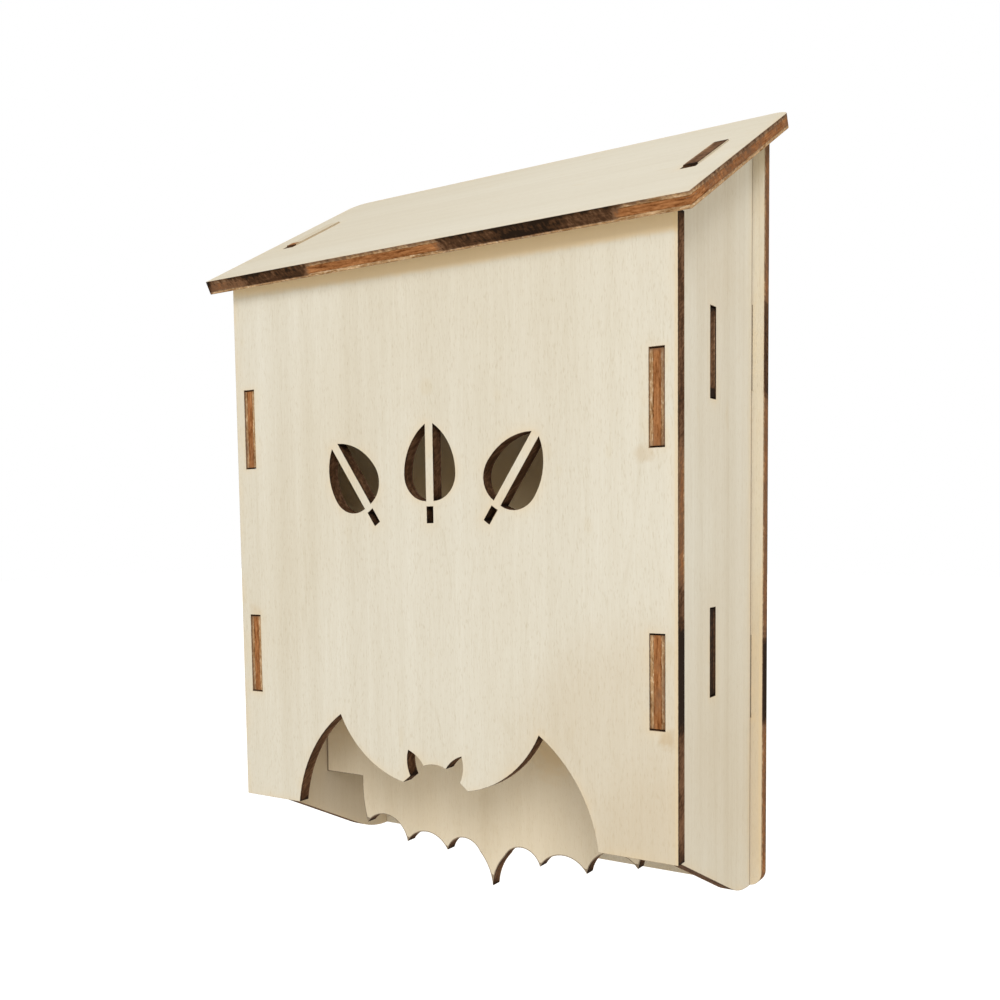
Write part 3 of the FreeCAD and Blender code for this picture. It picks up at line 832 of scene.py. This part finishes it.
# %% [markdown]
# One material per board joins the groups. The face turns into the edge where the depth
# leaves -1 or 1. Bare wood is matt, the charred edge even more than the face, and both have
# a shallow relief.

# %% Board material
FACE_DEPTHS = (0.982, 0.998)
EDGE_ROUGHNESS = 0.9
FACE_SMOOTHNESS = 0.22
GLOSS = 0.06
RELIEF = 0.05 * MILLIMETRE
RELIEF_STRENGTH = 0.5


def make_board_material(name, seed, char, grain_across=False, strength=1.0, bands=0.3,
                        tone=1.0, clean=0.3, strokes=0.0, rim=0.08, inside=0.0, burns=(),
                        smoke_and_painted_shade=(), peach_and_painted_shade=(), scorch_and_gap_shade=()):
    """The finish of one board. Seed picks its veneer, tone scales its colours, and strength
    and bands say how much the grain shows. Burns change the char of its edges. Smoke patches
    tan its faces, some with painted shade; peach patches turn them peach, with real tan and
    with painted warm shade; brown-line patches lay burnt rims and the painted shade of seams
    and gaps. Inside is the share of painted warm shade on the whole face that looks into the
    box. Rim is the width in millimetres of the brown line beside a cut."""
    material = bpy.data.materials.new(name)
    material.use_nodes = True
    sheet = Sheet(material.node_tree)
    uv = sheet.add("ShaderNodeUVMap", uv_map="place_on_board").outputs[0]
    place = sheet.vector("MULTIPLY", uv, (1 / MILLIMETRE,) * 3)
    cut, corner, depth = (sheet.add("ShaderNodeAttribute", attribute_name=word).outputs["Fac"]
                          for word in ("cut", "corner", "depth"))
    pale, warm = ([part * tone for part in colour[:3]] + [1] for colour in (PALE, WARM))
    grain = own_grain(sheet, place, depth, seed, grain_across,
                      {"Pale": pale, "Warm": warm, "Strength": strength, "Bands": bands})
    colour = tan_and_painted_shade(sheet, grain["Colour"], place, depth, cut, rim, inside, smoke_and_painted_shade, peach_and_painted_shade,
                    scorch_and_gap_shade)
    char = sheet.math("ADD", add_heat(sheet, place, burns), char)
    edge = sheet.copy_of(edge_group, {"Place": place, "Depth": depth, "Corner": corner,
                                      "Char": char, "Clean": clean, "Strokes": strokes})

    shader = material.node_tree.nodes["Principled BSDF"]
    face = sheet.step(sheet.math("ABSOLUTE", depth), *FACE_DEPTHS)
    sheet.put(shader.inputs["Base Color"], sheet.blend(face, edge["Colour"], colour))
    sheet.put(shader.inputs["Roughness"], sheet.plus(EDGE_ROUGHNESS, face, -FACE_SMOOTHNESS))
    shader.inputs["Specular IOR Level"].default_value = GLOSS
    bump = sheet.add("ShaderNodeBump")
    bump.inputs["Distance"].default_value = RELIEF
    bump.inputs["Strength"].default_value = RELIEF_STRENGTH
    relief = sheet.between(face, edge["Height"], grain["Height"])
    sheet.put(bump.inputs["Height"], relief)
    sheet.put(shader.inputs["Normal"], bump.outputs[0])
    return material


# %% [markdown]
# Now the six boards get their finish. The tab ends that show in the front's slots are
# almost bare. The front edge of the roof and the right edges of the front and back are
# burnt black in places. Places on the boards are in millimetres, across and up.

# %% Finish the boards
FRONT_EDGE = 55.2
ROOF_EDGE = -51.0
TAB_END = 48.9
SLOT = 51.05
SLOT_LEVELS = (-41.8, -94.0)
ROOF_TAB = 25.3
ROOF_TAB_LEVEL = 8.0
TAB_REACH = 10.5
FINISHES = {
    "front_panel": dict(
        # Painted shade: inside darkens and warms the inner face a little.
        seed=1, char=0.74, bands=0.2, inside=0.1, clean=0.1, strokes=0.1,
        burns=[heat(FRONT_EDGE, -63.0, 12.5, -0.36), heat(FRONT_EDGE, -93.5, 9.5, 0.60),
               heat(FRONT_EDGE, -115.0, 8.0, -0.12)]
        + [heat(side * SLOT, level, TAB_REACH, -0.70, 2.0, 3.0) for side in (-1, 1)
           for level in SLOT_LEVELS],
        # The first two smoke patches make the face darker and warmer towards its lower right
        # corner; the three small ones are tan spots.
        smoke_and_painted_shade=[heat(52.0, -118.0, 34.0, 0.21, 16.0), heat(56.0, -130.0, 20.0, 0.18, 16.0),
               heat(53.4, -104.6, 1.6, 0.40, 2.0), heat(48.2, -51.8, 1.6, 0.30, 2.0),
               heat(-51.0, -84.0, 1.4, 0.25, 2.0)],
        # Painted shadow: the first peach patch is a warm band under the roof's eave, tapering
        # to the left, laid over the lamp's own shadow there. The second is the real tan along
        # the right edge.
        peach_and_painted_shade=[heat(60.0, -9.0, 3.8, 0.85, 1.4, 0.028, 0.25),
              heat(FRONT_EDGE, -70.0, 120.0, 0.60, 110.0, 165.0)]),
    "baffle_panel": dict(
        # Painted light and shade on the baffle, which shows only through the front's openings:
        # tone 1.15 paints it paler to make up for the shade it stands in, inside darkens its
        # back face, and rim 0.26 widens the brown line at its rims, a burnt rim and the
        # painted shade along its lower edge.
        seed=2, char=0.72, tone=1.15, inside=0.1, rim=0.26,
        burns=[heat(52.4, -90.8, 10.0, 0.35), heat(52.4, -40.0, 1.8, 0.8, 1.0)],
        # The smoke patch at (0, -66) paints the shade seen through the leaf cut-outs; the one
        # on the left wing darkens that wing.
        smoke_and_painted_shade=[heat(-40.0, -101.0, 11.0, 0.14, 12.0), heat(0.0, -66.0, 20.0, 0.55, 14.0, 0.5)],
        # Painted warm shade: the peach patches warm the whole baffle and its middle, for light
        # that bounces between the wooden boards.
        peach_and_painted_shade=[heat(0.0, -70.0, 130.0, 0.42, 20.0), heat(0.0, -92.0, 24.0, 0.40, 16.0, 0.1),
              heat(0.0, -66.0, 20.0, 0.45, 14.0, 0.5), heat(16.0, -114.5, 5.0, 0.34, 9.0)],
        # The brown strips along both side edges are burnt rims and the painted shade of the
        # seams with the side panels.
        scorch_and_gap_shade=[heat(side * 49.4, -98.0, 45.0, 0.75, 14.0, 110.0) for side in (-1, 1)]),
    "back_panel": dict(
        # Painted shade: inside and the smoke patch darken and warm the narrow strip of this
        # face that shows beside the right side, most near its foot. The peach strip along its
        # edge is a real scorch halo.
        seed=3, char=0.40, inside=0.11,
        burns=[heat(-FRONT_EDGE, -28.0, 10.0, 0.45), heat(-FRONT_EDGE, -99.0, 9.5, 0.85),
               heat(-FRONT_EDGE, -128.0, 19.0, -0.08)],
        smoke_and_painted_shade=[heat(-54.0, -116.0, 34.0, 0.35, 26.0)],
        peach_and_painted_shade=[heat(-FRONT_EDGE, -112.0, 44.0, 0.55, 16.0, 52.0)]),
    "left_side_panel": dict(
        # Painted shade: inside 0.52 darkens and warms the inner face, which shows through the
        # arch.
        seed=4, char=0.74, strength=0.8, bands=0.35, inside=0.52,
        burns=[heat(TAB_END, level, TAB_REACH, -0.66) for level in SLOT_LEVELS]
        + [heat(ROOF_TAB, ROOF_TAB_LEVEL, TAB_REACH, -2.0),
           heat(33.6, 3.0, 2.2, 0.90, 1.0)]),
    "right_side_panel": dict(
        # Painted shade: inside 0.50 darkens and warms the inner face, and rim 0.10 widens the
        # brown line where this side meets the back.
        seed=5, char=0.74, strength=0.8, bands=0.35, inside=0.50, rim=0.10,
        burns=[heat(-TAB_END, level, TAB_REACH, -0.62) for level in SLOT_LEVELS]
        + [heat(-ROOF_TAB, ROOF_TAB_LEVEL, TAB_REACH, -0.15)],
        # Painted shade: the smoke patches darken the outer face along its rear edge, under the
        # roof and at its foot.
        smoke_and_painted_shade=[heat(-6.0, -40.0, 30.0, 0.10, 16.0), heat(-6.0, -100.0, 34.0, 0.10, 16.0),
               heat(-28.0, -4.0, 20.0, 0.14, 18.0), heat(-25.0, -136.0, 34.0, 0.10, 22.0)],
        # The brown strip along the rear edge is a burnt rim and the painted shade of the seam
        # with the back.
        scorch_and_gap_shade=[heat(-3.0, -75.0, 115.0, 0.64, 20.0, 280.0, 0.6)]),
    "roof_panel": dict(
        seed=6, char=0.30, grain_across=True, strength=0.4, bands=0.15, tone=0.97, clean=0.85,
        strokes=0.5,
        burns=[heat(-38.0, ROOF_EDGE, 9.2, 0.57, 3.0), heat(-58.0, ROOF_EDGE, 11.0, 0.22),
               heat(-11.8, ROOF_EDGE, 17.4, -0.50), heat(25.4, ROOF_EDGE, 19.8, 0.50, 3.0),
               heat(26.5, ROOF_EDGE, 6.8, 0.27), heat(53.0, ROOF_EDGE, 8.0, -0.50),
               heat(59.0, -20.0, 34.0, -0.06)],
        # Painted shade: the smoke and brown strips at the left slot paint the dark gap around
        # the tab that stands in it.
        smoke_and_painted_shade=[heat(-49.2, -19.5, 10.2, 1.0, 0.5, 40.0)],
        scorch_and_gap_shade=[heat(-49.35, -19.5, 10.2, 0.5, 0.5, 70.0)]),
}
for name, finish in FINISHES.items():
    material = make_board_material(name + " plywood", **finish)
    boards[name].data.materials.append(material)
    print("%-18s %3d nodes in its finish" % (name, len(material.node_tree.nodes)))

# %% [markdown]
# The box hangs in the air in front of plain white, as a thing does when it is photographed
# for a shop. One soft lamp stands in front on the right, a little above the box: it throws
# the narrow shadow of the roof on the front and the wider one on the side.

# %% Lamp
TARGET = (cad_box[0] + cad_box[1]) / 2


def add_lamp(name, direction, distance, size, power, colour):
    """A square lamp at target + direction times distance, turned towards the target."""
    lamp = bpy.data.objects.new(name, bpy.data.lights.new(name, "AREA"))
    lamp.data.size = size
    lamp.data.energy = power
    lamp.data.color = colour
    away = Vector(direction).normalized()
    lamp.location = TARGET + away * distance
    lamp.rotation_mode = "QUATERNION"
    lamp.rotation_quaternion = away.to_track_quat("Z", "Y")
    bpy.context.scene.collection.objects.link(lamp)
    print("lamp", name, "at", lamp.location)


add_lamp("key", direction=(0.72, -1.0, 0.72), distance=1.2, size=0.5, power=6.9,
         colour=(0.90, 0.94, 1.0))

# %% [markdown]
# A pale floor lies below the box. It shines a little where the camera sees it, directly or
# in a reflection, and so looks white without throwing more light on the box.

# %% Floor
FLOOR_DROP = 0.35
FLOOR_SIZE = 16.0
FLOOR_GLOW = 0.62
FLOOR_COLOUR = (0.9, 0.9, 0.9, 1)
FLOOR_ROUGHNESS = 0.9
WHITE = (1, 1, 1, 1)


def add_seen_by_camera(sheet):
    """1 for what the camera sees directly, in a reflection or through glass."""
    path = sheet.add("ShaderNodeLightPath").outputs
    direct = sheet.math("MAXIMUM", path["Is Camera Ray"], path["Is Glossy Ray"])
    return sheet.math("MAXIMUM", direct, path["Is Transmission Ray"])


half = FLOOR_SIZE / 2
level = cad_box[0].z - FLOOR_DROP
floor_mesh = bpy.data.meshes.new("floor")
floor_mesh.from_pydata([(-half, -half, level), (half, -half, level), (half, half, level),
                        (-half, half, level)], [], [(0, 1, 2, 3)])
floor = bpy.data.objects.new("floor", floor_mesh)
bpy.context.scene.collection.objects.link(floor)

floor_material = bpy.data.materials.new("pale floor")
floor_material.use_nodes = True
floor_sheet = Sheet(floor_material.node_tree)
floor_shader = floor_material.node_tree.nodes["Principled BSDF"]
for word, value in (("Base Color", FLOOR_COLOUR), ("Roughness", FLOOR_ROUGHNESS),
                    ("Specular IOR Level", 0.0), ("Emission Color", WHITE)):
    floor_shader.inputs[word].default_value = value
shine = floor_sheet.math("MULTIPLY", add_seen_by_camera(floor_sheet), FLOOR_GLOW)
floor_sheet.put(floor_shader.inputs["Emission Strength"], shine)
floor.data.materials.append(floor_material)
print("floor %.2f m below the box" % FLOOR_DROP)

# %% [markdown]
# The world gives the rest of the light. It looks white to the camera and to reflections,
# but lights the box at a lower level, with a slightly warm colour.

# %% World
WORLD_LIGHT = 0.67
WORLD_COLOUR = (1.0, 0.955, 0.88, 1)
world = bpy.data.worlds.new("studio")
bpy.context.scene.world = world
world.use_nodes = True
world_sheet = Sheet(world.node_tree)
background = world.node_tree.nodes["Background"]
seen = add_seen_by_camera(world_sheet)
world_sheet.put(background.inputs["Color"], world_sheet.blend(seen, WORLD_COLOUR, WHITE))
world_sheet.put(background.inputs["Strength"],
                world_sheet.plus(WORLD_LIGHT, seen, 1 - WORLD_LIGHT))
bpy.context.scene.view_settings.view_transform = "Standard"
print("the world lights the box at", WORLD_LIGHT)

# %% [markdown]
